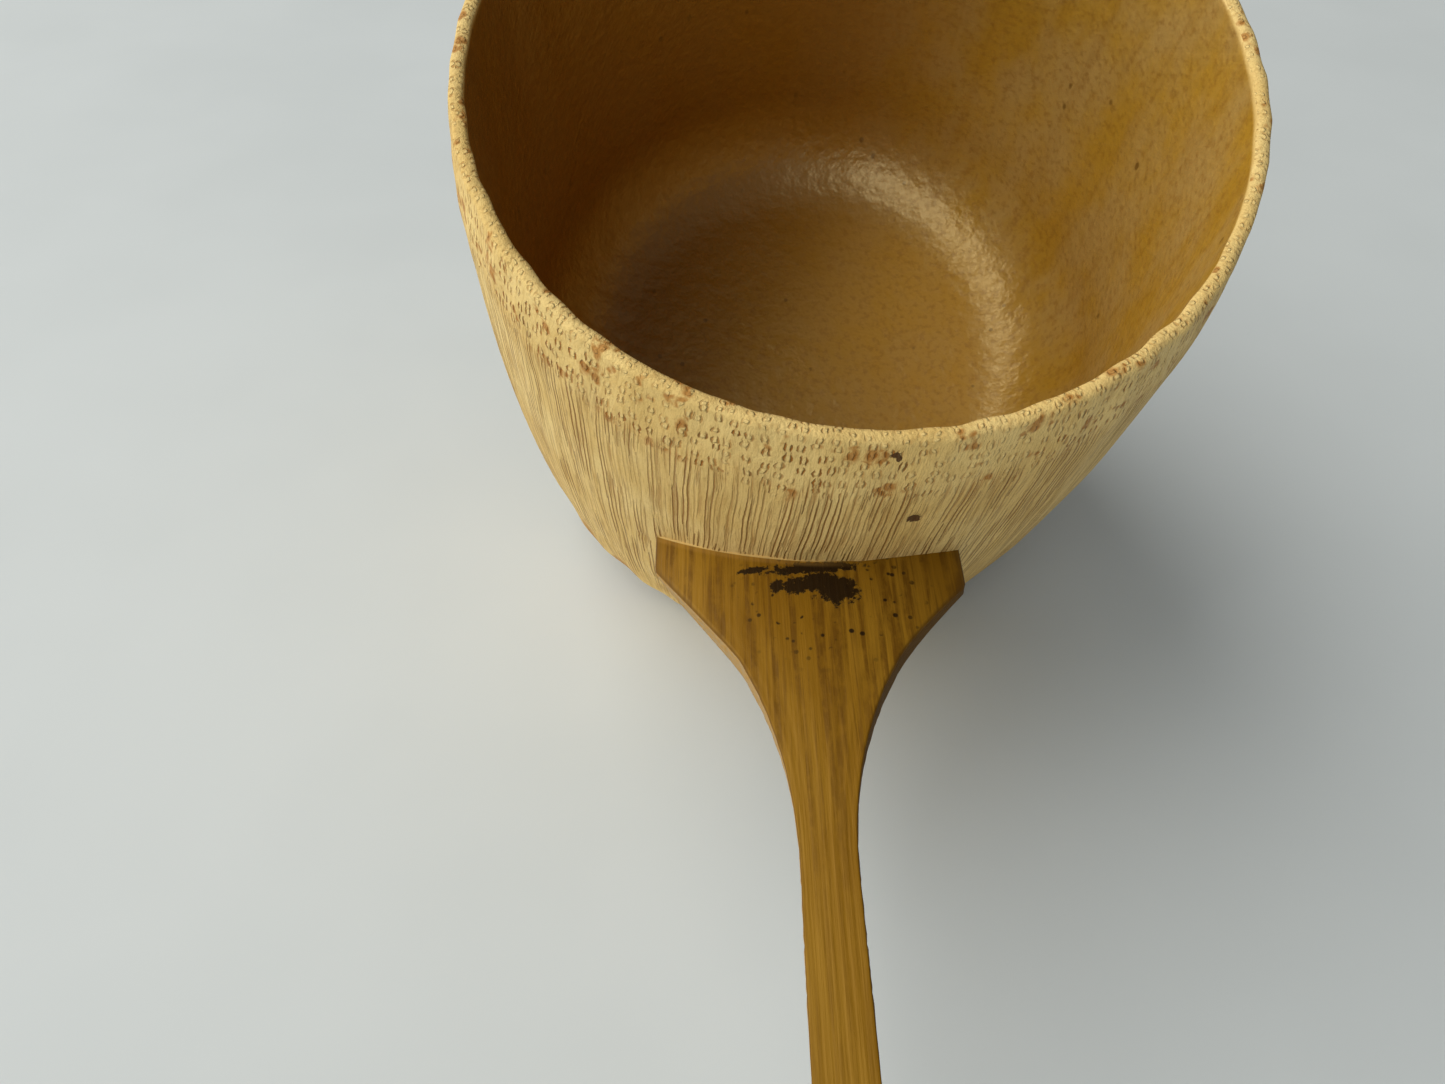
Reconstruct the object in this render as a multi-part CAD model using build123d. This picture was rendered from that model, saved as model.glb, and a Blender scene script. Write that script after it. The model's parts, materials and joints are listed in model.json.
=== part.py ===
from build123d import *
import math
import os

os.makedirs("parts", exist_ok=True)

# Bamboo water ladle. The cup is a short length of culm whose natural node is its floor, and the
# handle is a strip of bamboo, skin side up, whose flared head is let into a slot in the cup's wall,
# a little off the cup's centre line and a little rolled, as it is fitted by hand.
# Both are drawn in the cup's frame: Z is the cup's axis, the base lies at Z = 0, the handle leaves
# towards -Y. The ladle is then tipped forward into its resting pose, on the rounded front edge of
# the base and on the far end of the handle, each worn to a small flat where it rests.

# Cup
CUP_HEIGHT = 48.7
LIP_INNER_RADIUS = 27.5
LIP_OUTER_RADIUS = 28.5
RIM_RADIUS = 29.25
RIM_HEIGHT = 44.8
SHOULDER_RADIUS = 29.8
SHOULDER_HEIGHT = 39.0
BELLY_RADIUS = 30.3
BELLY_HEIGHT = 28.0
FOOT_RADIUS = 29.4
FOOT_ROUND = 3.6
WALL_INNER_RADIUS = 27.4
FLOOR_HEIGHT = 6.0
FLOOR_FILLET = 6.2

# Handle, with lengths measured along the strip from the outside of the wall
HANDLE_RISE_DEG = 20.0
HANDLE_ROLL_DEG = 7.0
HANDLE_OFFSET = -3.0
JOINT_HEIGHT = 30.2
TONGUE_DEPTH = 2.3
ROOT_LENGTH = 9.0
HEAD_WIDTH = 24.2
LEFT_SHOULDER = -1.6
RIGHT_SHOULDER = 2.0
THROAT = 24.0
NECK_WIDTH = 3.8
TAIL_WIDTH = 8.4
HANDLE_LENGTH = 300.0
STRIP_THICKNESS = 3.0
SKIN_RADIUS = 38.0
TAIL_BEVEL = 1.2
TAIL_BEVEL_DEG = 45.0
NODE_DISTANCE = 158.0
NODE_RIDGE_RADIUS = 6.0
NODE_RIDGE_HEIGHT = 0.5

# Depth of the flats worn on the foot and on the far end.
REST_WEAR = 0.2

# A quarter round's middle stands off its square corner by this much of its radius, each way.
ARC_STAND_OFF = 1.0 - math.sqrt(0.5)

# Length of the cylinders that shape the strip: longer than the strip to either side of the cup.
TOOL_LENGTH = 3.0 * HANDLE_LENGTH


def cup_blank():
    """The cup turned about its own axis, before the handle's slot is cut."""
    foot_corner = FOOT_ROUND * ARC_STAND_OFF
    foot_edge = (FOOT_RADIUS - FOOT_ROUND, 0.0)
    foot_middle = (FOOT_RADIUS - foot_corner, foot_corner)
    foot_top = (FOOT_RADIUS, FOOT_ROUND)
    belly = (BELLY_RADIUS, BELLY_HEIGHT)
    shoulder = (SHOULDER_RADIUS, SHOULDER_HEIGHT)
    rim = (RIM_RADIUS, RIM_HEIGHT)
    lip_outer = (LIP_OUTER_RADIUS, CUP_HEIGHT)
    lip_inner = (LIP_INNER_RADIUS, CUP_HEIGHT)
    floor_corner = FLOOR_FILLET * ARC_STAND_OFF
    floor_top = (WALL_INNER_RADIUS, FLOOR_HEIGHT + FLOOR_FILLET)
    floor_middle = (WALL_INNER_RADIUS - floor_corner, FLOOR_HEIGHT + floor_corner)
    floor_edge = (WALL_INNER_RADIUS - FLOOR_FILLET, FLOOR_HEIGHT)
    floor_centre = (0.0, FLOOR_HEIGHT)
    outline = Curve() + [
        Line((0.0, 0.0), foot_edge),
        ThreePointArc(foot_edge, foot_middle, foot_top),
        ThreePointArc(foot_top, belly, shoulder),
        ThreePointArc(shoulder, rim, lip_outer),
        Line(lip_outer, lip_inner),
        Line(lip_inner, floor_top),
        ThreePointArc(floor_top, floor_middle, floor_edge),
        Line(floor_edge, floor_centre),
        Line(floor_centre, (0.0, 0.0)),
    ]
    return revolve(Plane.XZ * make_face(outline), Axis.Z)


def flare(side, shoulder_at):
    """One edge of the strip: straight past the wall, drawn in to the throat, then to the end."""
    head = HEAD_WIDTH / 2.0
    neck = NECK_WIDTH / 2.0
    drop = head - neck
    length = THROAT - shoulder_at
    radius = (drop**2 + length**2) / (2.0 * drop)
    half_way = length / 2.0
    middle_width = neck + radius - math.sqrt(radius**2 - half_way**2)
    root = (side * head, -ROOT_LENGTH)
    shoulder = (side * head, shoulder_at)
    middle = (side * middle_width, shoulder_at + half_way)
    throat = (side * neck, THROAT)
    end = (side * TAIL_WIDTH / 2.0, HANDLE_LENGTH)
    return [Line(root, shoulder), ThreePointArc(shoulder, middle, throat), Line(throat, end)]


def strip_plan():
    """The strip seen square to its skin: x is across, y runs along it; its shoulders differ."""
    head = HEAD_WIDTH / 2.0
    tail = TAIL_WIDTH / 2.0
    edges = flare(1.0, LEFT_SHOULDER) + flare(-1.0, RIGHT_SHOULDER)
    edges.append(Line((-head, -ROOT_LENGTH), (head, -ROOT_LENGTH)))
    edges.append(Line((-tail, HANDLE_LENGTH), (tail, HANDLE_LENGTH)))
    return make_face(Curve() + edges)


def handle_strip():
    """The strip lying along +Y with its skin at Z = 0: crowned above, flat below, one node."""
    slab = extrude(strip_plan(), STRIP_THICKNESS + NODE_RIDGE_HEIGHT, dir=(0, 0, 1))
    slab = Pos(0, 0, -STRIP_THICKNESS) * slab
    crown = Pos(0, 0, -SKIN_RADIUS) * Rot(90, 0, 0) * Cylinder(SKIN_RADIUS, TOOL_LENGTH)
    ridge_drop = NODE_RIDGE_RADIUS - NODE_RIDGE_HEIGHT
    ridge = Rot(0, 90, 0) * Cylinder(NODE_RIDGE_RADIUS, HEAD_WIDTH)
    ridge = Pos(0, NODE_DISTANCE, -ridge_drop) * ridge
    bevel_side = math.sqrt(2.0) * TAIL_BEVEL
    bevel = Rot(TAIL_BEVEL_DEG, 0, 0) * Box(HEAD_WIDTH, bevel_side, bevel_side)
    bevel = Pos(0, HANDLE_LENGTH, 0) * bevel
    return (slab & (crown + ridge)) - bevel


def handle_in_cup_frame():
    """The strip rolled, raised and turned towards -Y, its tongue ending round the slot's floor."""
    place = Pos(HANDLE_OFFSET, -BELLY_RADIUS, JOINT_HEIGHT) * Rot(-HANDLE_RISE_DEG, 0, 0)
    strip = place * Rot(0, 0, 180) * Rot(0, HANDLE_ROLL_DEG, 0) * handle_strip()
    return strip - Cylinder(BELLY_RADIUS - TONGUE_DEPTH, TOOL_LENGTH)


def rest_tilt_deg():
    """Tip angle at which the far end's lowest corner and the rounded foot touch one plane."""
    rise = math.radians(HANDLE_RISE_DEG)
    roll = math.radians(HANDLE_ROLL_DEG)
    corner_depth = STRIP_THICKNESS * math.cos(roll) + TAIL_WIDTH / 2.0 * math.sin(roll)
    end_forward = BELLY_RADIUS + HANDLE_LENGTH * math.cos(rise) + corner_depth * math.sin(rise)
    end_height = JOINT_HEIGHT + HANDLE_LENGTH * math.sin(rise) - corner_depth * math.cos(rise)
    forward = end_forward - (FOOT_RADIUS - FOOT_ROUND)
    height = end_height - FOOT_ROUND
    lean = math.atan2(height, forward)
    wrap = math.asin(FOOT_ROUND / math.hypot(forward, height))
    return math.degrees(lean + wrap)


handle = handle_in_cup_frame()
cup = cup_blank() - handle

tip = Rot(rest_tilt_deg(), 0, 0)
tipped = {"cup": tip * cup, "handle": tip * handle}
lowest = Compound(list(tipped.values())).bounding_box().min.Z
below = (Align.CENTER, Align.CENTER, Align.MAX)
ground = Pos(0, 0, lowest + REST_WEAR) * Box(TOOL_LENGTH, TOOL_LENGTH, CUP_HEIGHT, align=below)
worn = {name: piece - ground for name, piece in tipped.items()}

extent = Compound(list(worn.values())).bounding_box()
stand = Pos(-extent.center().X, -extent.center().Y, -extent.min.Z)
for name, piece in worn.items():
    placed = stand * piece
    placed.label = name
    export_step(placed, f"parts/{name}.step")

print("rest tilt", round(rest_tilt_deg(), 4), "shift", stand.position)
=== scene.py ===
import json
import math

import bpy
import numpy as np
from mathutils import Matrix, Vector


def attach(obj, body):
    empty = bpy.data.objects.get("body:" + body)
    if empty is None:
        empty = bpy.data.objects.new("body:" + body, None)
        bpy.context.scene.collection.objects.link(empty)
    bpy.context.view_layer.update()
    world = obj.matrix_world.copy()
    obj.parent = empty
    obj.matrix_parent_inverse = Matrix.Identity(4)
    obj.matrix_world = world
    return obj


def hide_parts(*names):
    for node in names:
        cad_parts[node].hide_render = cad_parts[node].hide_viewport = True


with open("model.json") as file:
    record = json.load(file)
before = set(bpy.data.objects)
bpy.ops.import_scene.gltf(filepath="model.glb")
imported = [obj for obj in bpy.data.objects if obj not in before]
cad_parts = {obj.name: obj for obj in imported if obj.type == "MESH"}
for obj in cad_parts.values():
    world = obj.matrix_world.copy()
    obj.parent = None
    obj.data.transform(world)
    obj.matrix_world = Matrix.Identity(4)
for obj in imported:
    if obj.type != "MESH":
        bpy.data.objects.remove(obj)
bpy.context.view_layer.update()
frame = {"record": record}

MM = 0.001

# Cup, in millimetres: the same driving sizes as the CAD.
CUP_HEIGHT = 48.7
LIP_INNER_RADIUS = 27.5
LIP_OUTER_RADIUS = 28.5
RIM_RADIUS = 29.25
RIM_HEIGHT = 44.8
SHOULDER_RADIUS = 29.8
SHOULDER_HEIGHT = 39.0
BELLY_RADIUS = 30.3
BELLY_HEIGHT = 28.0
FOOT_RADIUS = 29.4
FOOT_ROUND = 3.6
WALL_INNER_RADIUS = 27.4
FLOOR_HEIGHT = 6.0
FLOOR_FILLET = 8.8
FLOOR_DISH = 0.9
FLOOR_DISH_FROM = 9.0
FLOOR_DISH_TO = 27.4
CUP_COLUMNS = 500

# Hand work on the cup, in millimetres. Flats are the knife's: (narrowest, widest).
OUT_OF_ROUND = 0.16
RIM_FLATS = (2.8, 5.2)
RIM_FLATS_RADIUS = 29.0
RIM_FLATS_SHARE = 0.7
LIP_FLATS_SHARE = 0.8
LIP_WAVE = 0.12
LIP_BAND = 3.0
WALL_FLATS = (4.0, 8.0)
WALL_FLATS_RADIUS = 30.0
WALL_FLATS_TWIST = 0.004
WALL_FLATS_SHARE = 0.75
FOOT_SCRAPE = 0.10
RIM_ROUGHNESS = 0.05
INSIDE_SCRAPE = 0.06
# Small hollows: (degrees from the handle, height), (half width, half height), depth.
HOLLOWS = (
    ((7.3, 37.8), (0.5, 0.7), 0.30),
    ((-31.5, 23.1), (0.9, 0.25), 0.5),
    ((1.8, 47.2), (0.4, 0.4), 0.15),
)

# Handle, in millimetres along the strip from the outside of the wall.
HANDLE_RISE_DEG = 20.0
HANDLE_ROLL_DEG = 7.0
HANDLE_OFFSET = -3.0
JOINT_HEIGHT = 30.2
TONGUE_DEPTH = 2.3
HEAD_WIDTH = 24.2
LEFT_SHOULDER = -1.6
RIGHT_SHOULDER = 2.0
THROAT = 24.0
NECK_WIDTH = 3.8
TAIL_WIDTH = 8.4
HANDLE_LENGTH = 300.0
STRIP_THICKNESS = 3.0
SKIN_RADIUS = 38.0
HEAD_ROWS = 8.0
NODE_DISTANCE = 158.0
NODE_RIDGE_HEIGHT = 0.5
TAIL_BEVEL = 1.2
SKIN_COLUMNS = 41
UNDER_COLUMNS = 17
FLANK_STEPS = (0.12, 0.4, 0.7, 0.95)
FREE_FROM = (0.5, 4.0)
NICK_SPACING = 0.45
NICK_DEPTH = 0.035
SKIN_INSET = 0.10
FLANK_LEAN = 0.16
SHAFT_BEND = 0.07
FIBRE_DEPTH = 0.02
NODE_RIDGE_WIDTH = 1.3
NODE_GROOVE_DEPTH = 0.18
NODE_GROOVE_WIDTH = 1.1
NODE_GROOVE_BEYOND = 3.2

# Camera, in the cup's frame: millimetres and degrees.
CAMERA_PLACE = (-11.1, -53.4, 103.6)
CAMERA_HEADING_DEG = 4.0
CAMERA_PITCH_DEG = 71.4
CAMERA_ROLL_DEG = 4.07
CAMERA_LENS = 24.96
CAMERA_SENSOR = 36.0
CAMERA_NEAR = 0.005

# Studio: each light is its place from the cup's mouth in metres, size, watts and colour.
WINDOW = ((-1.95, 0.50, 1.90), 3.8, 90.0, (1.0, 0.99, 0.96))
ROOM = ((-1.55, -2.2, 1.5), 2.8, 43.0, (0.97, 0.99, 1.0))
WORLD_COLOUR = (0.90, 0.95, 1.0, 1.0)
WORLD_STRENGTH = 0.155
FLOOR_SIZE = 6.0


# ---------------------------------------------------------------- frames
def cup_matrix():
    """Millimetres in the cup's frame to metres in the row frame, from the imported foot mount."""
    foot = next(m for m in frame["record"]["mounts"] if m["name"] == "foot")
    down = Vector(foot["axis"])
    tilt = math.atan2(down.y, -down.z)
    return Matrix.Translation(foot["pos_m"]) @ Matrix.Rotation(tilt, 4, "X") @ Matrix.Scale(MM, 4)


def handle_matrix(cup):
    """Millimetres in the strip's frame (x across, y along, z out of the skin) to metres."""
    joint = Matrix.Translation((HANDLE_OFFSET, -BELLY_RADIUS, JOINT_HEIGHT))
    rise = Matrix.Rotation(-math.radians(HANDLE_RISE_DEG), 4, "X")
    roll = Matrix.Rotation(math.radians(HANDLE_ROLL_DEG), 4, "Y")
    return cup @ joint @ rise @ Matrix.Rotation(math.pi, 4, "Z") @ roll


CUP = cup_matrix()
HANDLE = handle_matrix(CUP)


# ---------------------------------------------------------------- small maths
def arc(start, middle, end, count):
    """Points on the circle through three points, start and end included."""
    (ax, ay), (bx, by), (cx, cy) = start, middle, end
    d = 2.0 * (ax * (by - cy) + bx * (cy - ay) + cx * (ay - by))
    a2, b2, c2 = ax * ax + ay * ay, bx * bx + by * by, cx * cx + cy * cy
    ox = (a2 * (by - cy) + b2 * (cy - ay) + c2 * (ay - by)) / d
    oy = (a2 * (cx - bx) + b2 * (ax - cx) + c2 * (bx - ax)) / d
    radius = math.hypot(ax - ox, ay - oy)
    first = math.atan2(ay - oy, ax - ox)
    sweep = math.remainder(math.atan2(cy - oy, cx - ox) - first, math.tau)
    angles = first + sweep * np.linspace(0.0, 1.0, count)
    return np.stack([ox + radius * np.cos(angles), oy + radius * np.sin(angles)], axis=1)


def line(start, end, count):
    return np.linspace(start, end, count)


def smooth(low, high, x):
    t = np.clip((x - low) / (high - low), 0.0, 1.0)
    return t * t * (3.0 - 2.0 * t)


def ripple(theta, z, seed, count, turns, rise):
    """Seeded sum of waves round the cup; it closes on itself. About -1 to 1."""
    rng = np.random.default_rng(seed)
    total = np.zeros(np.broadcast(theta, z).shape)
    for _ in range(count):
        around = rng.integers(turns[0], turns[1] + 1)
        along = rng.uniform(-rise, rise)
        total += np.cos(around * theta + along * z + rng.uniform(0.0, math.tau))
    return total / math.sqrt(count)


def facets(theta, seed, radius, widths):
    """Depth, in mm, that flat knife strokes of uneven width take off a round wall."""
    rng = np.random.default_rng(seed)
    cuts = [0.0]
    while cuts[-1] < math.tau:
        cuts.append(cuts[-1] + rng.uniform(*widths) / radius)
    cuts = np.array(cuts) * math.tau / cuts[-1]
    index = np.clip(np.searchsorted(cuts, theta % math.tau, side="right") - 1, 0, len(cuts) - 2)
    middle = (cuts[index] + cuts[index + 1]) / 2.0
    half = (cuts[index + 1] - cuts[index]) / 2.0
    return radius * (half**2 - (theta % math.tau - middle) ** 2) / 2.0


def dent(theta, z, place, size, depth):
    """A small hollow: place is (angle in degrees from the handle, height in mm)."""
    across = (theta - math.radians(place[0])) * BELLY_RADIUS
    up = z - place[1]
    return depth * np.exp(-((across / size[0]) ** 2) - (up / size[1]) ** 2)


# ---------------------------------------------------------------- meshes
def make_object(name, matrix, points, faces, slots, materials):
    """A mesh built in the row frame; what would lie below the resting surface is worn flat."""
    placed = points @ np.array(matrix.to_3x3()).T + np.array(matrix.translation)
    placed[:, 2] = np.maximum(placed[:, 2], 0.0)
    mesh = bpy.data.meshes.new(name)
    mesh.from_pydata(placed.tolist(), [], faces)
    for material in materials:
        mesh.materials.append(material)
    mesh.polygons.foreach_set("material_index", slots)
    mesh.polygons.foreach_set("use_smooth", [True] * len(faces))
    mesh.update()
    piece = bpy.data.objects.new(name, mesh)
    bpy.context.scene.collection.objects.link(piece)
    return piece


def cup_profile():
    """Rings of the cup from the base's middle, up the outside and down the inside, as (r, z)."""
    foot_low = (FOOT_RADIUS - FOOT_ROUND, 0.0)
    foot_high = (FOOT_RADIUS, FOOT_ROUND)
    foot_cut = FOOT_ROUND * (1.0 - math.sqrt(0.5))
    foot_middle = (FOOT_RADIUS - foot_cut, foot_cut)
    shoulder = (SHOULDER_RADIUS, SHOULDER_HEIGHT)
    lip_out = (LIP_OUTER_RADIUS, CUP_HEIGHT - 0.2)
    lip_top = ((LIP_OUTER_RADIUS + LIP_INNER_RADIUS) / 2.0, CUP_HEIGHT)
    lip_in = (LIP_INNER_RADIUS, CUP_HEIGHT - 0.2)
    floor_high = (WALL_INNER_RADIUS, FLOOR_HEIGHT + FLOOR_FILLET)
    floor_cut = FLOOR_FILLET * (1.0 - math.sqrt(0.5))
    floor_middle = (WALL_INNER_RADIUS - floor_cut, FLOOR_HEIGHT + floor_cut)
    floor_low = (WALL_INNER_RADIUS - FLOOR_FILLET, FLOOR_HEIGHT)
    outside = [
        line((1.5, 0.0), foot_low, 12)[:-1],
        arc(foot_low, foot_middle, foot_high, 11)[:-1],
        arc(foot_high, (BELLY_RADIUS, BELLY_HEIGHT), shoulder, 60)[:-1],
        arc(shoulder, (RIM_RADIUS, RIM_HEIGHT), lip_out, 38)[:-1],
        arc(lip_out, lip_top, lip_in, 7),
    ]
    inside = [
        line(lip_in, floor_high, 44)[1:],
        arc(floor_high, floor_middle, floor_low, 14)[1:],
        line(floor_low, (1.5, FLOOR_HEIGHT), 12)[1:],
    ]
    outside = np.concatenate(outside)
    return np.concatenate([outside] + inside), len(outside)


def cup_points():
    """The profile's rings turned round the axis, with the marks of hand work laid over them."""
    rings, outside_count = cup_profile()
    theta = np.linspace(0.0, math.tau, CUP_COLUMNS, endpoint=False)[None, :]
    r = rings[:, :1] + 0.0 * theta
    z = rings[:, 1:] + 0.0 * theta
    level = 0.0 * z
    is_outside = (np.arange(len(rings)) < outside_count)[:, None]
    wall = smooth(4.0, 26.0, r)
    rim = smooth(SHOULDER_HEIGHT - 2.0, RIM_HEIGHT, z)
    belly = smooth(0.0, 6.0, z) * (1.0 - rim)
    r = r + wall * OUT_OF_ROUND * ripple(theta, level, 3, 3, (2, 3), 0.0)
    rim_flats = facets(theta, 11, RIM_FLATS_RADIUS, RIM_FLATS)
    shaving = rim * RIM_FLATS_SHARE * rim_flats
    wall_flats = facets(theta + WALL_FLATS_TWIST * z, 12, WALL_FLATS_RADIUS, WALL_FLATS)
    planing = belly * WALL_FLATS_SHARE * wall_flats
    scraping = FOOT_SCRAPE * smooth(8.0, 2.0, z) * ripple(theta, z, 13, 14, (9, 40), 0.6)
    r = r - np.where(is_outside, wall * (shaving + planing + scraping), 0.0)
    roughness = RIM_ROUGHNESS * rim * ripple(theta, z, 14, 10, (20, 60), 1.2)
    r = r + np.where(is_outside, roughness, 0.0)
    lip = smooth(CUP_HEIGHT - LIP_BAND, CUP_HEIGHT, z)
    lip_wave = LIP_WAVE * ripple(theta, level, 15, 5, (2, 7), 0.0)
    z = z - lip * (LIP_FLATS_SHARE * rim_flats - lip_wave)
    inside_scrape = INSIDE_SCRAPE * wall * ripple(theta, z, 16, 12, (6, 26), 0.25)
    scraped = np.where(is_outside, 0.0, inside_scrape)
    r = r + scraped * (1.0 - lip)
    low_down = 1.0 - smooth(30.0, 40.0, z)
    dished = FLOOR_DISH * smooth(FLOOR_DISH_FROM, FLOOR_DISH_TO, r) * low_down
    z = z + np.where(is_outside, 0.0, dished)
    from_handle = np.remainder(theta + math.pi, math.tau) - math.pi
    hollows = sum(dent(from_handle, z, *hollow) for hollow in HOLLOWS)
    r = r - np.where(is_outside, hollows, 0.0)
    x = r * np.sin(theta)
    y = -r * np.cos(theta)
    return np.stack([x, y, z], axis=2), outside_count


def cup_mesh(materials):
    """The closed cup; slot 0 is its shaved outside and slot 1 its waxed inside."""
    grid, outside_count = cup_points()
    ring_count, columns = grid.shape[:2]
    points = np.concatenate([grid.reshape(-1, 3), [[0.0, 0.0, 0.0], [0.0, 0.0, FLOOR_HEIGHT]]])
    base_middle = ring_count * columns
    floor_middle = base_middle + 1
    faces, slots = [], []
    for i in range(ring_count - 1):
        slot = 0 if i < outside_count - 1 else 1
        for j in range(columns):
            k = (j + 1) % columns
            a, b = i * columns, (i + 1) * columns
            faces.append((a + j, a + k, b + k, b + j))
            slots.append(slot)
    last = (ring_count - 1) * columns
    for j in range(columns):
        k = (j + 1) % columns
        faces.append((base_middle, k, j))
        slots.append(0)
        faces.append((last + j, last + k, floor_middle))
        slots.append(1)
    return make_object("bamboo_cup", CUP, points, faces, slots, materials)


def strip_half_width(y, side):
    """Half the strip's width on one side (1 or -1), y mm from the wall."""
    head = HEAD_WIDTH / 2.0
    neck = NECK_WIDTH / 2.0
    tail = TAIL_WIDTH / 2.0
    drop = head - neck
    length = THROAT - np.where(side > 0.0, LEFT_SHOULDER, RIGHT_SHOULDER)
    radius = (drop**2 + length**2) / (2.0 * drop)
    along = np.clip(THROAT - y, 0.0, length)
    flare = neck + radius - np.sqrt(radius**2 - along**2)
    shaft = neck + (tail - neck) * np.clip((y - THROAT) / (HANDLE_LENGTH - THROAT), 0.0, 1.0)
    return np.where(y < THROAT, flare, shaft)


def slot_floor(x, z):
    """How far back, along the strip, the tongue ends on the slot's round floor."""
    rise, roll = math.radians(HANDLE_RISE_DEG), math.radians(HANDLE_ROLL_DEG)
    across = HANDLE_OFFSET - (x * math.cos(roll) + z * math.sin(roll))
    above = z * math.cos(roll) - x * math.sin(roll)
    depth = np.sqrt((BELLY_RADIUS - TONGUE_DEPTH) ** 2 - across**2)
    return (depth - BELLY_RADIUS + above * math.sin(rise)) / math.cos(rise)


def strip_rows():
    """Distances along the strip: close rows at the head and the node, wide ones between."""
    node_low = NODE_DISTANCE - 6.0
    node_high = NODE_DISTANCE + 6.0
    return np.concatenate([
        np.arange(0.0, 32.0, 0.3),
        np.arange(32.0, node_low, 1.2),
        np.arange(node_low, node_high, 0.3),
        np.arange(node_high, HANDLE_LENGTH - TAIL_BEVEL, 1.2),
        [HANDLE_LENGTH - TAIL_BEVEL, HANDLE_LENGTH - TAIL_BEVEL / 2.0, HANDLE_LENGTH],
    ])


def handle_mesh(materials):
    """Rings of the strip from the slot's floor to the far end: skin, right, underside, left."""
    s = strip_rows()[:, None]
    across = np.concatenate([
        np.linspace(-1.0, 1.0, SKIN_COLUMNS),
        [1.0] * len(FLANK_STEPS),
        np.linspace(1.0, -1.0, UNDER_COLUMNS),
        [-1.0] * len(FLANK_STEPS),
    ])[None, :]
    down = np.concatenate([
        [0.0] * SKIN_COLUMNS,
        FLANK_STEPS,
        [1.0] * UNDER_COLUMNS,
        FLANK_STEPS[::-1],
    ])[None, :]
    is_skin = (np.arange(across.size) < SKIN_COLUMNS)[None, :]
    side = np.sign(across)
    # The first rows follow the slot's round floor and straighten out over the head.
    back = np.clip(1.0 - s / HEAD_ROWS, 0.0, 1.0)
    rough_x = across * HEAD_WIDTH / 2.0
    rough_z = np.sqrt(SKIN_RADIUS**2 - rough_x**2) - SKIN_RADIUS
    y = s + slot_floor(rough_x, rough_z * (1.0 - down) - STRIP_THICKNESS * down) * back
    free = smooth(*FREE_FROM, y)
    half = strip_half_width(y, side)
    rng = np.random.default_rng(21)
    nick_places = np.arange(-12.0, HANDLE_LENGTH + 20.0, NICK_SPACING)
    nicks = np.interp(y, nick_places, rng.standard_normal(len(nick_places)))
    half = half - free * NICK_DEPTH * np.abs(nicks) * ~is_skin
    inset = np.where(is_skin, SKIN_INSET, FLANK_LEAN * down)
    bend = free * SHAFT_BEND * (np.cos(0.09 * y + 1.0) + 0.4 * np.cos(0.23 * y))
    x = across * (half - inset) + bend
    skin = np.sqrt(SKIN_RADIUS**2 - (across * half) ** 2) - SKIN_RADIUS
    beyond = y - NODE_DISTANCE
    groove = (beyond - NODE_GROOVE_BEYOND) / NODE_GROOVE_WIDTH
    skin = skin + NODE_RIDGE_HEIGHT * np.exp(-((beyond / NODE_RIDGE_WIDTH) ** 2))
    skin = skin - NODE_GROOVE_DEPTH * np.exp(-(groove**2))
    skin = skin - np.clip(y - (HANDLE_LENGTH - TAIL_BEVEL), 0.0, TAIL_BEVEL)
    fibres = np.cos(31.0 * across + 0.3 * np.cos(0.11 * y)) * np.cos(13.0 * across + 2.0)
    z = skin * (1.0 - down) - STRIP_THICKNESS * down
    z = z + np.where(is_skin, free * FIBRE_DEPTH * fibres, 0.0)
    y = s + slot_floor(x, z) * back
    count, around = x.shape
    points = np.stack([x, y, z], axis=2).reshape(-1, 3)
    faces = []
    for i in range(count - 1):
        a, b = i * around, (i + 1) * around
        for j in range(around):
            k = (j + 1) % around
            faces.append((a + j, a + k, b + k, b + j))
    faces.append(tuple(reversed(range(around))))
    faces.append(tuple((count - 1) * around + j for j in range(around)))
    slots = [0] * len(faces)
    return make_object("bamboo_handle", HANDLE, points, faces, slots, materials)


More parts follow.
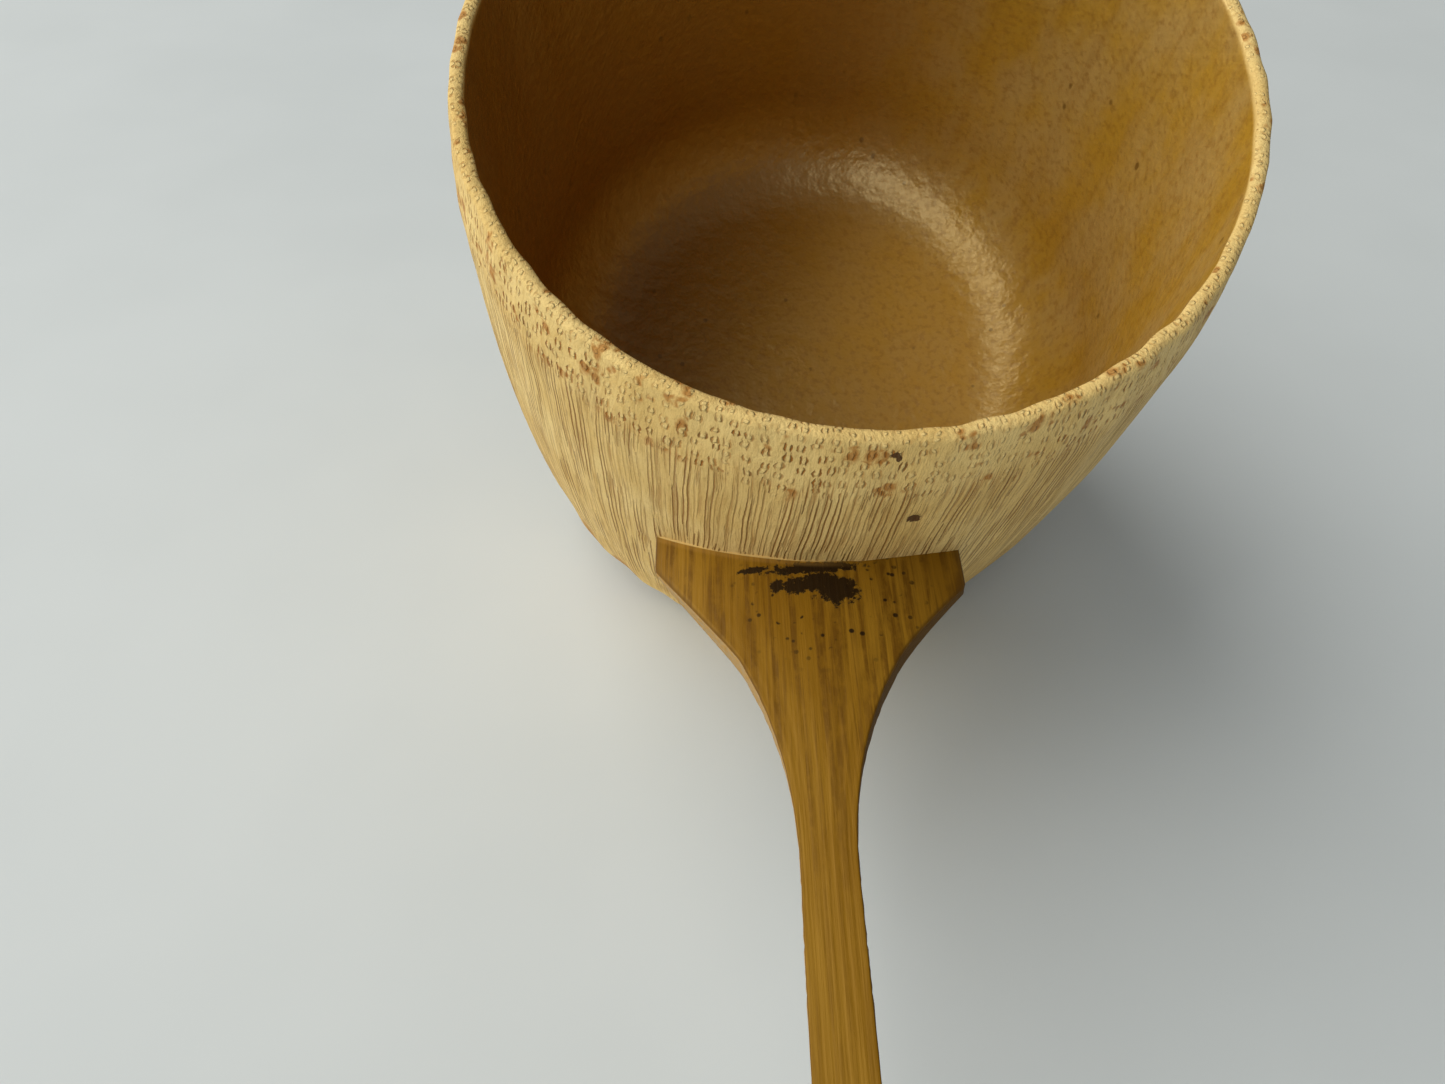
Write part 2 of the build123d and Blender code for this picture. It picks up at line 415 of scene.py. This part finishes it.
# ---------------------------------------------------------------- material nodes
class Shader:
    """A material being wired up: each call adds one node and returns its output socket."""

    def __init__(self, name, matrix):
        self.material = bpy.data.materials.new(name)
        self.material.use_nodes = True
        self.tree = self.material.node_tree
        self.tree.nodes.clear()
        self.end = self.tree.nodes.new("ShaderNodeOutputMaterial")
        self.base = self.tree.nodes.new("ShaderNodeBsdfPrincipled")
        self.tree.links.new(self.base.outputs[0], self.end.inputs[0])
        self.place = self.local_place(matrix)

    def local_place(self, matrix):
        """Millimetres in the piece's own frame, from the object's coordinates."""
        back = matrix.inverted()
        spin = back.to_quaternion().to_euler("XYZ")
        size = back.to_scale()
        texture = self.tree.nodes.new("ShaderNodeTexCoord").outputs["Object"]
        return self.node(
            "ShaderNodeMapping",
            Vector=texture,
            Location=back.to_translation(),
            Rotation=spin,
            Scale=size,
        )

    def local_normal(self, matrix):
        """The surface's own normal, in the piece's frame."""
        spin = matrix.inverted().to_quaternion().to_euler("XYZ")
        facing = self.tree.nodes.new("ShaderNodeNewGeometry").outputs["Normal"]
        return self.node("ShaderNodeMapping", Vector=facing, Rotation=spin)

    def node(self, kind, out=0, **inputs):
        made = self.tree.nodes.new(kind)
        for key, value in inputs.items():
            self.feed(made.inputs[key.replace("_", " ")], value)
        return made.outputs[out]

    def feed(self, socket, value):
        if isinstance(value, bpy.types.NodeSocket):
            self.tree.links.new(value, socket)
        else:
            socket.default_value = value

    def math(self, operation, *values):
        made = self.tree.nodes.new("ShaderNodeMath")
        made.operation = operation
        for socket, value in zip(made.inputs, values):
            self.feed(socket, value)
        return made.outputs[0]

    def ramp(self, value, low, high, out_low=0.0, out_high=1.0):
        """Smooth step from out_low at low to out_high at high; low may be above high."""
        if low > high:
            low, high, out_low, out_high = high, low, out_high, out_low
        made = self.tree.nodes.new("ShaderNodeMapRange")
        made.interpolation_type = "SMOOTHSTEP"
        made.inputs["From Min"].default_value = low
        made.inputs["From Max"].default_value = high
        made.inputs["To Min"].default_value = out_low
        made.inputs["To Max"].default_value = out_high
        self.feed(made.inputs["Value"], value)
        return made.outputs[0]

    def hypot(self, a, b):
        return self.math("SQRT", self.math("MULTIPLY_ADD", a, a, self.both(b, b)))

    def both(self, *values):
        """The product of two or more values."""
        product = values[0]
        for value in values[1:]:
            product = self.math("MULTIPLY", product, value)
        return product

    def vector(self, x, y, z):
        return self.node("ShaderNodeCombineXYZ", X=x, Y=y, Z=z)

    def parts(self, vector):
        made = self.tree.nodes.new("ShaderNodeSeparateXYZ")
        self.feed(made.inputs[0], vector)
        return made.outputs

    def noise(self, vector, scale, detail=3.0, rough=0.55):
        kind = "ShaderNodeTexNoise"
        return self.node(kind, Vector=vector, Scale=scale, Detail=detail, Roughness=rough)

    def mix(self, amount, first, second):
        made = self.tree.nodes.new("ShaderNodeMix")
        made.data_type = "RGBA"
        self.feed(made.inputs[0], amount)
        self.feed(made.inputs[6], first)
        self.feed(made.inputs[7], second)
        return made.outputs[2]

    def bump(self, height, depth):
        """A normal for relief of the given depth in millimetres."""
        return self.node("ShaderNodeBump", Distance=depth * MM, Height=height)

    def gloss(self, level, tint):
        self.base.inputs["Specular IOR Level"].default_value = level
        self.base.inputs["Specular Tint"].default_value = tint

    def wire(self, **inputs):
        for key, value in inputs.items():
            self.feed(self.base.inputs[key.replace("_", " ")], value)
        return self.material


# Marks left by use, in millimetres, each (across, along, half width, half length). On the wall
# across is round from the handle and along is the height; on the strip they are its x and y.
CHIPS = ((3.7, 37.8, 0.50, 0.8), (0.9, 47.3, 0.34, 0.34), (1.25, 46.95, 0.22, 0.30))
SCORCHES = (
    (-0.5, 0.65, 3.8, 0.60),
    (3.9, 0.35, 1.3, 0.32),
    (2.3, 2.1, 0.60, 0.65),
    (0.7, 2.2, 1.25, 0.85),
    (-2.3, 2.9, 1.75, 1.35),
    (-0.9, 2.0, 1.70, 1.00),
)


def rgb(red, green, blue):
    return (red, green, blue, 1.0)


STRAW = rgb(0.74, 0.50, 0.165)
STRAW_PALE = rgb(0.82, 0.59, 0.225)
STRAW_DEEP = rgb(0.46, 0.25, 0.06)
FIBRE_DARK = rgb(0.30, 0.120, 0.018)
STAIN = rgb(0.39, 0.135, 0.012)
CHAR = rgb(0.060, 0.016, 0.004)
INSIDE = rgb(0.470, 0.252, 0.022)
INSIDE_DEEP = rgb(0.23, 0.085, 0.003)
INSIDE_PALE = rgb(0.475, 0.288, 0.074)
SKIN = rgb(0.218, 0.100, 0.004)
SKIN_PALE = rgb(0.285, 0.142, 0.010)
SKIN_DEEP = rgb(0.125, 0.052, 0.003)
SCORCH = rgb(0.010, 0.004, 0.002)
FLESH = rgb(0.42, 0.28, 0.13)
FLOOR_DULL = rgb(0.615, 0.65, 0.64)
FLOOR_PALE = rgb(0.645, 0.68, 0.67)
STRAW_GLOSS = rgb(1.0, 0.86, 0.62)
WAX_GLOSS = rgb(1.0, 0.78, 0.40)
SKIN_GLOSS = rgb(1.0, 0.74, 0.34)
WAX_IOR = 1.72

# Roughness from the smoothest to the roughest place, and the relief's depth in millimetres.
STRAW_ROUGHNESS = (0.55, 0.72)
WAX_ROUGHNESS = (0.32, 0.42)
SKIN_ROUGHNESS = (0.42, 0.55)
FLESH_ROUGHNESS = 0.8
FLOOR_ROUGHNESS = 0.6
STRAW_RELIEF = 0.19
WAX_RELIEF = 0.12
SKIN_RELIEF = 0.12

# Vascular bundles on the cup. Under the lip they are cut across and show as dots; lower down
# they are cut along and show as strokes. Lengths in millimetres, sizes as shares of a cell.
DOT_SPACING = 1.08
DOT_ROWS_OUT = 2.0
DOT_ROWS_DOWN = 0.46
DOT_SIZE = (0.27, 0.43)
DOT_HEIGHTS = (RIM_HEIGHT - 4.6, RIM_HEIGHT - 1.4)
LIP_HEIGHTS = (RIM_HEIGHT + 2.6, RIM_HEIGHT + 3.6)
STROKE_SPACING = 0.86
STROKE_LENGTH = 11.0
STROKE_SHIFT = 7.3
STROKE_SIZE = (0.27, 0.80)
STROKE_HEIGHTS = (RIM_HEIGHT + 0.4, RIM_HEIGHT - 3.2)
OUTSIDE_RADIUS = 29.0
INSIDE_RADIUS = 27.0


def bundles(sh, u, v, half, shake):
    """Vascular bundles cut across, one to a unit cell: dark strokes round a pale heart."""
    ragged = sh.parts(sh.node("ShaderNodeTexNoise", 1, Vector=sh.place, Scale=1.7, Detail=2.0))
    spot = sh.vector(wander(sh, u, ragged[0], shake), wander(sh, v, ragged[1], 1.5 * shake), 0.0)
    voronoi = sh.tree.nodes.new("ShaderNodeTexVoronoi")
    voronoi.voronoi_dimensions = "2D"
    voronoi.inputs["Scale"].default_value = 1.0
    voronoi.inputs["Randomness"].default_value = 0.62
    sh.feed(voronoi.inputs["Vector"], spot)
    away = sh.tree.nodes.new("ShaderNodeVectorMath")
    away.operation = "SUBTRACT"
    sh.feed(away.inputs[0], spot)
    sh.feed(away.inputs[1], voronoi.outputs["Position"])
    off = sh.parts(away.outputs[0])
    across = sh.math("DIVIDE", off[0], half[0])
    along = sh.math("DIVIDE", off[1], half[1])
    reach = sh.hypot(across, along)
    side = sh.math("ABSOLUTE", across)
    heart = sh.ramp(reach, 0.62, 0.34)
    ring = sh.ramp(reach, 1.15, 0.86)
    strokes = sh.math("MULTIPLY", ring, sh.math("SUBTRACT", 1.0, heart))
    strokes = sh.math("MULTIPLY", strokes, sh.ramp(side, 0.30, 0.72))
    tone = sh.parts(voronoi.outputs["Color"])[0]
    return strokes, heart, tone, reach


def round_cup(sh, radius):
    """Millimetres round the wall, out from the axis and up it, besides x, y and z."""
    x, y, z = sh.parts(sh.place)
    theta = sh.math("ARCTAN2", x, sh.math("MULTIPLY", y, -1.0))
    return x, y, z, sh.math("MULTIPLY", theta, radius), sh.hypot(x, y)


def wander(sh, value, noise, amount):
    return sh.math("MULTIPLY_ADD", sh.math("SUBTRACT", noise, 0.5), amount, value)


def blot(sh, u, v, centre, half):
    """One at the centre of an ellipse, nought on its edge and below nought outside it."""
    across = sh.math("DIVIDE", sh.math("SUBTRACT", u, centre[0]), half[0])
    along = sh.math("DIVIDE", sh.math("SUBTRACT", v, centre[1]), half[1])
    return sh.math("SUBTRACT", 1.0, sh.hypot(across, along))


def blots(sh, u, v, places):
    """The nearest of several blots, each (across, along, half width, half length)."""
    nearest = None
    for across, along, wide, long in places:
        one = blot(sh, u, v, (across, along), (wide, long))
        nearest = one if nearest is None else sh.math("MAXIMUM", nearest, one)
    return nearest


def cup_outside_material():
    """Shaved bamboo: straw coloured, with dots under the lip, strokes below, stains and chips."""
    sh = Shader("shaved_bamboo_outside", CUP)
    x, y, z, u, v = round_cup(sh, OUTSIDE_RADIUS)
    # Bundles: dots where the cut crosses them and strokes where it runs along them.
    sway = sh.noise(sh.vector(x, y, sh.math("MULTIPLY", z, 0.3)), 0.2, 2.0)
    u = wander(sh, u, sway, 1.2)
    low = sh.math("SUBTRACT", CUP_HEIGHT, z)
    row = sh.math("MULTIPLY_ADD", v, DOT_ROWS_OUT, sh.math("MULTIPLY", low, DOT_ROWS_DOWN))
    row = wander(sh, row, sh.noise(sh.vector(y, x, sh.math("MULTIPLY", z, 0.5)), 0.45, 2.0), 1.2)
    column = sh.math("DIVIDE", u, DOT_SPACING)
    dots, heart, tone, reach = bundles(sh, column, row, DOT_SIZE, 0.36)
    sunk = sh.math("DIVIDE", z, STROKE_LENGTH)
    sunk = wander(sh, sunk, sh.noise(sh.vector(y, x, 0.0), 0.9, 2.0), 2.4)
    column = sh.math("DIVIDE", sh.math("ADD", u, STROKE_SHIFT), STROKE_SPACING)
    lines, _, line_tone, _ = bundles(sh, column, sunk, STROKE_SIZE, 0.10)
    fine = sh.noise(sh.vector(u, sh.math("MULTIPLY", z, 0.045), 0.0), 2.3, 3.0, 0.7)
    streak = sh.noise(sh.vector(u, v, sh.math("MULTIPLY", z, 0.03)), 2.2, 4.0, 0.6)
    hair = sh.noise(sh.vector(u, v, sh.math("MULTIPLY", z, 0.10)), 6.5, 2.0, 0.6)
    grit = sh.noise(sh.place, 3.5, 3.0, 0.65)
    patch = sh.noise(sh.vector(x, y, z), 0.11, 3.0)
    # Ground colour, darker along some fibres and in the grit.
    base = sh.mix(sh.ramp(patch, 0.35, 0.65), STRAW, STRAW_PALE)
    base = sh.mix(sh.ramp(streak, 0.45, 0.78, 0.0, 0.45), base, STRAW_DEEP)
    base = sh.mix(sh.ramp(grit, 0.50, 0.78, 0.0, 0.35), base, STRAW_DEEP)
    # Dots, strokes and grooves, each kept to its own heights with an uneven edge.
    edge = wander(sh, z, sh.noise(sh.vector(x, y, 0.0), 0.5, 2.0), 4.0)
    in_rim = sh.ramp(edge, *DOT_HEIGHTS)
    below = sh.ramp(edge, *STROKE_HEIGHTS)
    base = sh.mix(sh.both(heart, in_rim, 0.75), base, STRAW_PALE)
    faded = sh.ramp(sh.noise(sh.place, 0.13, 2.0), 0.40, 0.56, 0.45, 1.0)
    on_lip = sh.ramp(edge, *LIP_HEIGHTS, 1.0, 0.55)
    dots = sh.both(dots, in_rim, sh.ramp(tone, 0.0, 0.8, 0.50, 1.0), faded, on_lip)
    lines = sh.both(lines, below, sh.ramp(line_tone, 0.1, 0.9, 0.30, 0.90))
    grooves = sh.math("MULTIPLY", sh.ramp(fine, 0.52, 0.66), below)
    lines = sh.math("MAXIMUM", lines, sh.math("MULTIPLY", grooves, 0.50))
    lines = sh.math("MULTIPLY", lines, sh.ramp(z, 3.0, 9.0, 0.25, 1.0))
    marks = sh.math("MAXIMUM", dots, lines)
    warm = sh.ramp(sh.noise(sh.vector(x, y, z), 0.6, 2.0), 0.38, 0.56)
    base = sh.mix(marks, base, sh.mix(sh.math("MULTIPLY", warm, in_rim), FIBRE_DARK, STAIN))
    # Brown stains among the dots and at the foot, and the chips.
    spots = sh.ramp(sh.noise(sh.vector(x, y, z), 0.46, 2.0), 0.585, 0.64)
    spots = sh.both(spots, sh.ramp(reach, 2.2, 0.9), in_rim)
    base = sh.mix(sh.math("MULTIPLY", spots, 0.75), base, STAIN)
    foot = sh.ramp(sh.noise(sh.vector(x, y, sh.math("MULTIPLY", z, 0.6)), 0.38, 3.0), 0.51, 0.63)
    foot = sh.math("MULTIPLY", foot, sh.ramp(z, 9.0, 3.0))
    base = sh.mix(sh.math("MULTIPLY", foot, 0.7), base, STAIN)
    chip = blots(sh, u, z, CHIPS)
    chip = sh.math("MULTIPLY_ADD", grit, 1.4, chip)
    chip = sh.ramp(chip, 0.74, 0.88)
    base = sh.mix(sh.math("MULTIPLY", chip, 0.92), base, CHAR)
    # Relief: marks sunk, hearts and fibres raised.
    height = sh.math("MULTIPLY", sh.math("MAXIMUM", marks, chip), -0.6)
    height = sh.math("MULTIPLY_ADD", sh.math("MULTIPLY", heart, in_rim), 0.35, height)
    height = sh.math("MULTIPLY_ADD", streak, 0.6, height)
    height = sh.math("MULTIPLY_ADD", hair, 0.35, height)
    height = sh.math("MULTIPLY_ADD", grit, 0.35, height)
    rough = sh.ramp(streak, 0.3, 0.7, *STRAW_ROUGHNESS)
    sh.gloss(0.25, STRAW_GLOSS)
    return sh.wire(Base_Color=base, Roughness=rough, Normal=sh.bump(height, STRAW_RELIEF))


def cup_inside_material():
    """Brown, waxed bamboo: mottled and faintly scraped on the wall, with painted shade darkening it to
    one side.
    """
    sh = Shader("waxed_bamboo_inside", CUP)
    x, y, z, u, v = round_cup(sh, INSIDE_RADIUS)
    on_wall = sh.ramp(v, WALL_INNER_RADIUS - 4.0, WALL_INNER_RADIUS - 0.5)
    mottle = sh.noise(sh.vector(x, y, sh.math("MULTIPLY", z, 0.6)), 0.16, 4.0)
    streak = sh.noise(sh.vector(u, sh.math("MULTIPLY", z, 0.05), 0.0), 0.7, 4.0, 0.6)
    slant = sh.vector(sh.math("ADD", u, z), sh.math("MULTIPLY", z, 0.12), v)
    brushed = sh.noise(slant, 0.9, 3.0)
    fine = sh.noise(sh.place, 1.6, 3.0)
    dimple = sh.noise(sh.place, 0.75, 2.0)
    pale = sh.math("MULTIPLY", sh.ramp(mottle, 0.35, 0.65), sh.math("MULTIPLY_ADD", on_wall, 0.6, 0.4))
    base = sh.mix(pale, INSIDE, INSIDE_PALE)
    streaked = sh.ramp(streak, 0.45, 0.75, 0.0, 0.25)
    base = sh.mix(sh.both(streaked, on_wall), base, INSIDE_DEEP)
    scraped = sh.ramp(brushed, 0.50, 0.75, 0.0, 0.18)
    base = sh.mix(sh.both(scraped, on_wall), base, INSIDE_PALE)
    base = sh.mix(sh.ramp(fine, 0.46, 0.72, 0.0, 0.45), base, INSIDE_DEEP)
    # Painted shade: the inside is darkened towards its left and back, as if the wall shaded it there.
    base = sh.mix(sh.ramp(sh.math("SUBTRACT", x, y), 6.0, -30.0, 0.0, 0.85), base, INSIDE_DEEP)
    # A few dark specks, and the pale edge where the inside meets the lip.
    tall = sh.vector(x, y, sh.math("MULTIPLY", z, 0.6))
    specks = sh.node("ShaderNodeTexVoronoi", Vector=tall, Scale=0.32)
    rare = sh.math("MULTIPLY", sh.ramp(specks, 0.105, 0.055), sh.ramp(mottle, 0.46, 0.50))
    base = sh.mix(sh.math("MULTIPLY", rare, 0.75), base, SKIN_DEEP)
    base = sh.mix(sh.ramp(z, CUP_HEIGHT - 0.8, CUP_HEIGHT - 0.3), base, STRAW)
    # Relief: scraping on the wall and shallow dimples in the wax.
    height = sh.math("MULTIPLY_ADD", brushed, 0.5, sh.math("MULTIPLY", streak, 0.3))
    height = sh.math("MULTIPLY", height, sh.math("MULTIPLY_ADD", on_wall, 0.85, 0.15))
    height = sh.math("MULTIPLY_ADD", dimple, 1.3, height)
    height = sh.math("MULTIPLY_ADD", fine, 0.14, height)
    rough = sh.ramp(fine, 0.3, 0.7, *WAX_ROUGHNESS)
    sh.base.inputs["IOR"].default_value = WAX_IOR
    sh.gloss(1.0, WAX_GLOSS)
    return sh.wire(Base_Color=base, Roughness=rough, Normal=sh.bump(height, WAX_RELIEF))


def handle_material():
    """Bamboo skin on the strip's face, cut flesh on its flanks, scorched near the joint."""
    sh = Shader("bamboo_skin_strip", HANDLE)
    x, y, z = sh.parts(sh.place)
    fibre = sh.noise(sh.vector(x, sh.math("MULTIPLY", y, 0.035), z), 2.8, 4.0, 0.6)
    band = sh.noise(sh.vector(x, sh.math("MULTIPLY", y, 0.03), 0.0), 1.25, 3.0, 0.65)
    cloud = sh.noise(sh.vector(x, sh.math("MULTIPLY", y, 0.3), z), 0.16, 3.0)
    mottle = sh.noise(sh.vector(x, sh.math("MULTIPLY", y, 0.45), 0.0), 1.1, 4.0, 0.65)
    # Skin: brown bands along the fibres, strongest on the head, and painted shade darkening it towards
    # the hand.
    head = sh.ramp(y, 30.0, 8.0)
    base = sh.mix(sh.ramp(cloud, 0.35, 0.65), SKIN, SKIN_PALE)
    deep = sh.math("MULTIPLY", sh.ramp(band, 0.45, 0.58), sh.math("MULTIPLY_ADD", head, 0.6, 0.3))
    deep = sh.math("MULTIPLY", deep, sh.ramp(mottle, 0.34, 0.60, 0.30, 1.0))
    base = sh.mix(deep, base, SKIN_DEEP)
    base = sh.mix(sh.ramp(fibre, 0.5, 0.78, 0.0, 0.4), base, SKIN_DEEP)
    # Painted shade: the skin is darkened along the shaft, away from the cup.
    base = sh.mix(sh.ramp(y, 25.0, 75.0, 0.0, 0.42), base, SKIN_DEEP)
    # Scorched patches with ragged edges, and dark specks scattered round them.
    ragged = sh.noise(sh.vector(x, sh.math("MULTIPLY", y, 0.9), 3.0), 1.9, 5.0, 0.75)
    burnt = sh.math("MULTIPLY_ADD", ragged, 2.7, blots(sh, x, y, SCORCHES))
    burnt = sh.ramp(burnt, 1.38, 1.56)
    drops = sh.node("ShaderNodeTexVoronoi", Vector=sh.vector(x, y, 0.0), Scale=1.15)
    near = blot(sh, x, y, (-1.8, 3.2), (9.0, 7.0))
    sparse = sh.noise(sh.vector(x, y, 9.0), 0.55, 2.0)
    near = sh.math("MULTIPLY", sh.ramp(near, -0.1, 0.5), sh.ramp(sparse, 0.44, 0.52))
    drops = sh.math("MULTIPLY", sh.ramp(drops, 0.27, 0.17), near)
    base = sh.mix(sh.math("MULTIPLY", sh.math("MAXIMUM", burnt, drops), 0.98), base, SCORCH)
    # Pale edge along the joint, by distance from the cup's outside.
    wall_x, wall_y, _ = sh.parts(sh.local_place(CUP))
    gap = sh.math("SUBTRACT", sh.hypot(wall_x, wall_y), BELLY_RADIUS)
    lifted = sh.math("MULTIPLY", sh.ramp(gap, 0.70, 0.35), sh.ramp(x, -5.0, 0.0))
    base = sh.mix(sh.math("MULTIPLY", lifted, 0.25), base, STRAW_DEEP)
    lifted = sh.math("MULTIPLY", sh.ramp(gap, 0.19, 0.09), sh.ramp(x, -4.0, 1.0))
    base = sh.mix(sh.math("MULTIPLY", lifted, 0.7), base, STRAW_PALE)
    # Flanks: rough, cut flesh, with painted shade on the right flank and on the skin's turned-down
    # edges.
    facing = sh.parts(sh.local_normal(HANDLE))
    flank = sh.ramp(facing[2], 0.55, 0.25)
    rough_cut = sh.noise(sh.vector(x, sh.math("MULTIPLY", y, 0.5), z), 2.4, 4.0, 0.7)
    flesh = sh.mix(sh.ramp(rough_cut, 0.42, 0.62), FLESH, STRAW_DEEP)
    # Painted shade: the flank that faces right is darkened.
    flesh = sh.mix(sh.ramp(facing[0], 0.0, -0.5), flesh, SKIN_DEEP)
    # Painted shade: the skin is darkened where it turns down towards the flanks.
    base = sh.mix(sh.math("MULTIPLY", sh.ramp(facing[2], 0.93, 0.75), 0.7), base, SKIN_DEEP)
    base = sh.mix(flank, base, flesh)
    height = sh.math("MULTIPLY", fibre, 0.5)
    height = sh.math("MULTIPLY_ADD", rough_cut, sh.math("MULTIPLY", flank, 1.6), height)
    height = sh.math("MULTIPLY_ADD", mottle, 0.25, height)
    height = sh.math("MULTIPLY_ADD", burnt, 0.35, height)
    rough = sh.ramp(fibre, 0.3, 0.7, *SKIN_ROUGHNESS)
    rough = sh.math("MAXIMUM", rough, sh.math("MULTIPLY", flank, FLESH_ROUGHNESS))
    sh.gloss(0.35, SKIN_GLOSS)
    return sh.wire(Base_Color=base, Roughness=rough, Normal=sh.bump(height, SKIN_RELIEF))


def floor_material():
    """A plain pale table with a faint cloudiness."""
    sh = Shader("pale_floor", Matrix.Scale(MM, 4))
    fine = sh.noise(sh.place, 0.02, 3.0)
    base = sh.mix(sh.ramp(fine, 0.3, 0.7), FLOOR_DULL, FLOOR_PALE)
    return sh.wire(Base_Color=base, Roughness=FLOOR_ROUGHNESS)


# ---------------------------------------------------------------- stage
def add_floor():
    bpy.ops.mesh.primitive_plane_add(size=FLOOR_SIZE, location=(0.0, 0.0, 0.0))
    floor = bpy.context.object
    floor.name = "floor"
    floor.data.materials.append(floor_material())


def add_light(name, target, offset, size, power, colour):
    """A round soft light, offset from the point it is aimed at."""
    lamp = bpy.data.lights.new(name, "AREA")
    lamp.shape = "DISK"
    lamp.size = size
    lamp.energy = power
    lamp.color = colour
    light = bpy.data.objects.new(name, lamp)
    light.location = target + Vector(offset)
    light.rotation_euler = (-Vector(offset)).to_track_quat("-Z", "Y").to_euler()
    bpy.context.scene.collection.objects.link(light)


def add_lights():
    cup = CUP @ Vector((0.0, 0.0, CUP_HEIGHT))
    add_light("window", cup, *WINDOW)
    add_light("room", cup, *ROOM)
    world = bpy.data.worlds.new("soft_room")
    world.use_nodes = True
    background = world.node_tree.nodes["Background"]
    background.inputs["Color"].default_value = WORLD_COLOUR
    background.inputs["Strength"].default_value = WORLD_STRENGTH
    bpy.context.scene.world = world


def add_camera():
    heading, pitch = math.radians(CAMERA_HEADING_DEG), math.radians(CAMERA_PITCH_DEG)
    roll = math.radians(CAMERA_ROLL_DEG)
    level = math.cos(pitch)
    ahead = Vector((math.sin(heading) * level, math.cos(heading) * level, -math.sin(pitch)))
    beside = ahead.cross(Vector((0.0, 0.0, 1.0))).normalized()
    above = beside.cross(ahead)
    right = beside * math.cos(roll) + above * math.sin(roll)
    up = above * math.cos(roll) - beside * math.sin(roll)
    turn = Matrix((right, up, -ahead)).transposed()
    tilt = CUP.to_quaternion().to_matrix()
    camera = bpy.data.objects.new("camera", bpy.data.cameras.new("camera"))
    camera.matrix_world = Matrix.Translation(CUP @ Vector(CAMERA_PLACE)) @ (tilt @ turn).to_4x4()
    camera.data.lens = CAMERA_LENS
    camera.data.sensor_width = CAMERA_SENSOR
    camera.data.clip_start = CAMERA_NEAR
    bpy.context.scene.collection.objects.link(camera)
    bpy.context.scene.camera = camera


# ---------------------------------------------------------------- build
cup = cup_mesh([cup_outside_material(), cup_inside_material()])
handle = handle_mesh([handle_material()])
for piece, node in ((cup, "cup"), (handle, "handle")):
    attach(piece, "root")
    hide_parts(node)
add_floor()
add_lights()
add_camera()
bpy.context.scene.view_settings.view_transform = "Standard"
